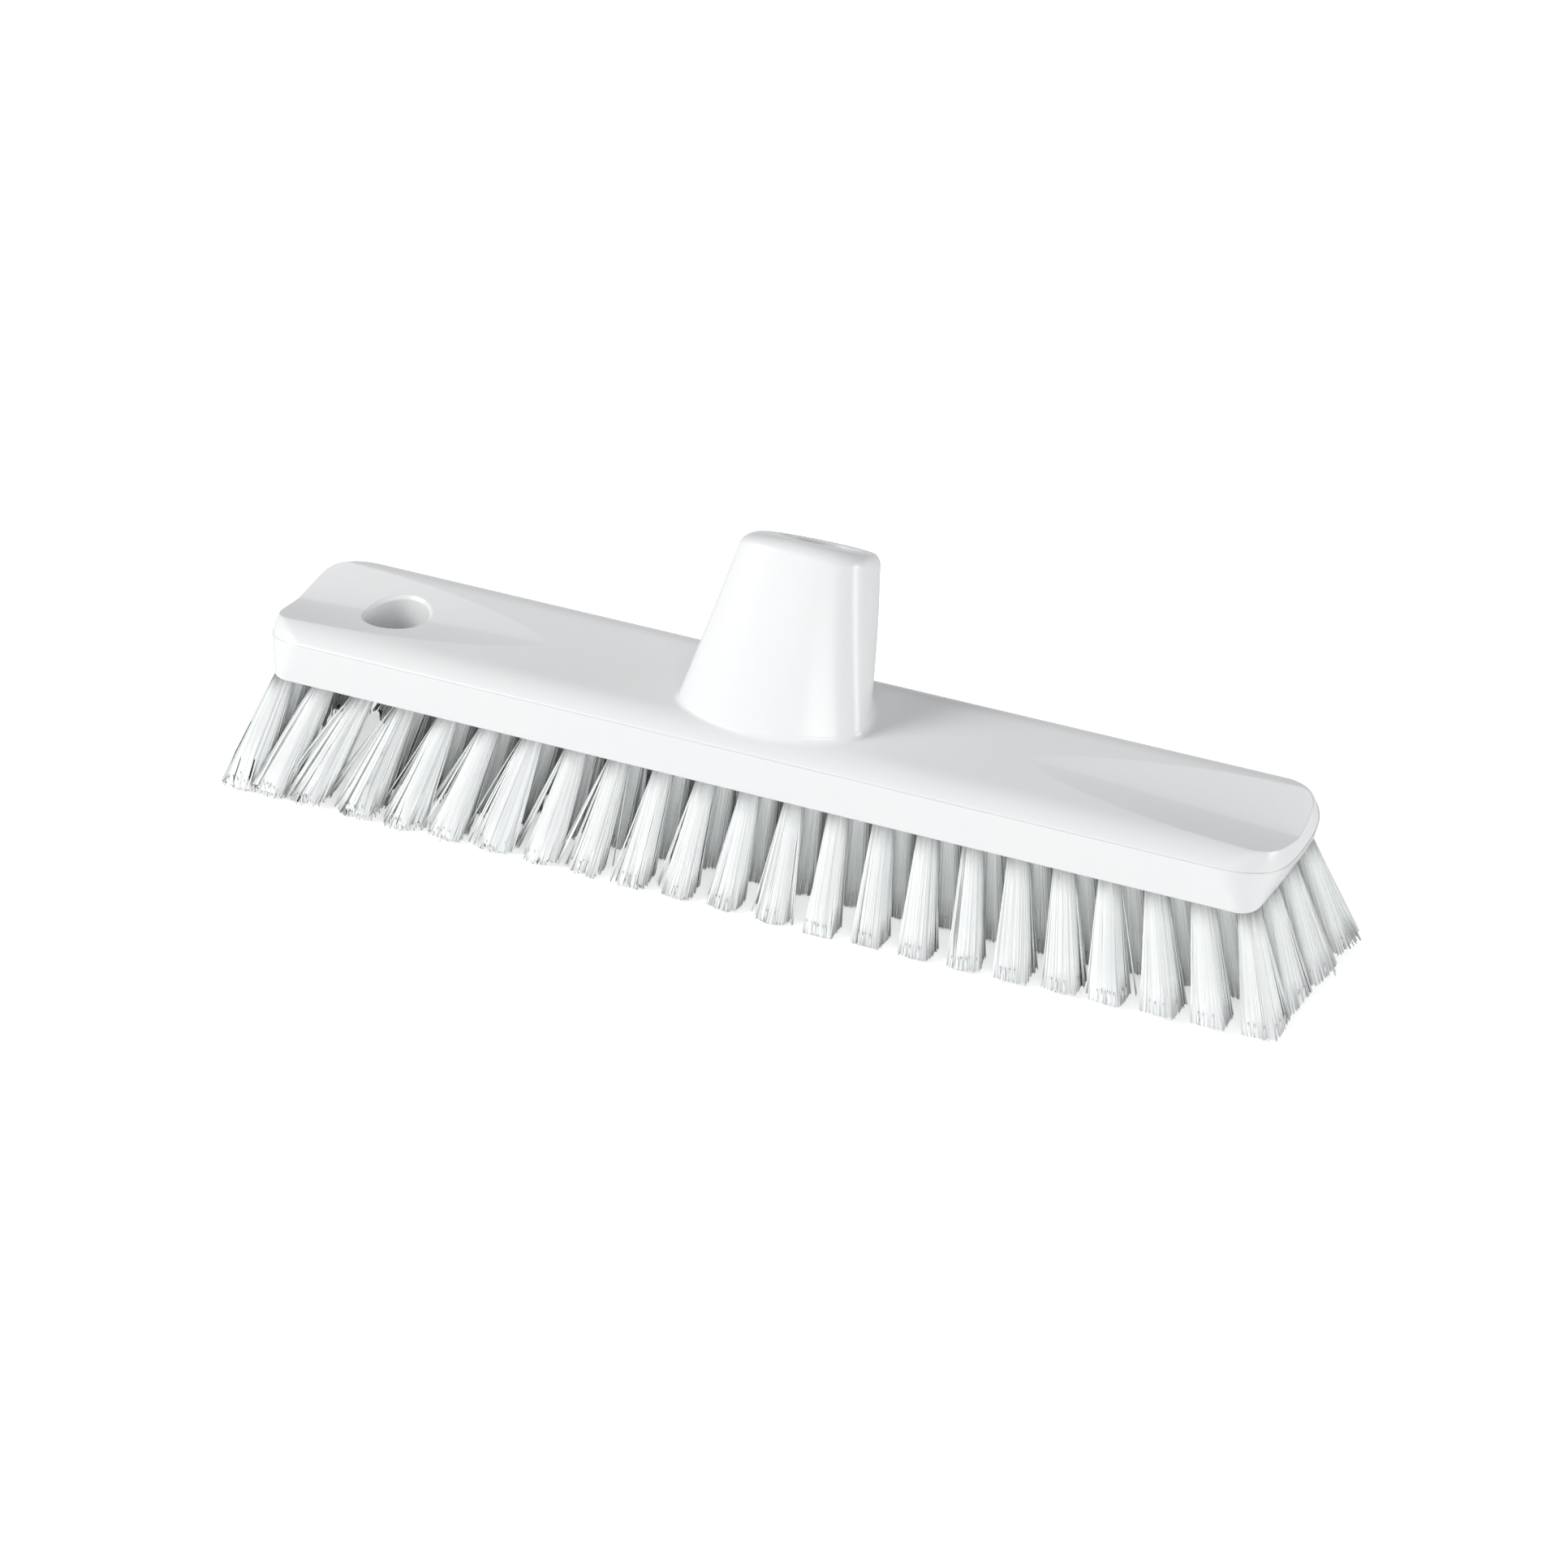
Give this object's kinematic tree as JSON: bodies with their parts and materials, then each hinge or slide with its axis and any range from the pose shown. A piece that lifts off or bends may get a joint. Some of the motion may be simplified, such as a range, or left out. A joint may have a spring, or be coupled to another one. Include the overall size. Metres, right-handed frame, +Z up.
{
  "type": "floor scrub brush head",
  "caption": "Long moulded brush head with splayed tufts in rows, finger scoops and a hanging hole in its top, and a round handle socket that leans back.",
  "frame": {"origin": "on the floor under the middle of the brush's overall box, with the brush standing on its bristle tips", "axes": "+X along the block away from the hanging hole, +Y to the side that the handle socket leans to, +Z up"},
  "size_m": [0.3204, 0.0656, 0.0965],
  "materials": {
    "block": "satin gloss, white moulded polypropylene",
    "bristle": "clear white filament"
  },
  "bodies": {
    "root": {"brush_block": "block", "handle_socket": "block", "tufts_front_01": "bristle", "tufts_rear_01": "bristle", "tufts_front_02": "bristle", "tufts_rear_02": "bristle", "tufts_front_03": "bristle", "tufts_rear_03": "bristle", "tufts_front_04": "bristle", "tufts_rear_04": "bristle", "tufts_front_05": "bristle", "tufts_rear_05": "bristle", "tufts_front_06": "bristle", "tufts_rear_06": "bristle", "tufts_front_07": "bristle", "tufts_rear_07": "bristle", "tufts_front_08": "bristle", "tufts_rear_08": "bristle", "tufts_front_09": "bristle", "tufts_rear_09": "bristle", "tufts_front_10": "bristle", "tufts_rear_10": "bristle", "tufts_front_11": "bristle", "tufts_rear_11": "bristle", "tufts_front_12": "bristle", "tufts_rear_12": "bristle", "tufts_front_13": "bristle", "tufts_rear_13": "bristle", "tufts_front_14": "bristle", "tufts_rear_14": "bristle", "tufts_front_15": "bristle", "tufts_rear_15": "bristle", "tufts_front_16": "bristle", "tufts_rear_16": "bristle", "tufts_front_17": "bristle", "tufts_rear_17": "bristle", "tufts_front_18": "bristle", "tufts_rear_18": "bristle", "tufts_front_19": "bristle", "tufts_rear_19": "bristle", "tufts_front_20": "bristle", "tufts_rear_20": "bristle", "tufts_front_21": "bristle", "tufts_rear_21": "bristle", "tufts_front_22": "bristle", "tufts_rear_22": "bristle", "tufts_front_23": "bristle", "tufts_rear_23": "bristle"}
  },
  "joints": []
}
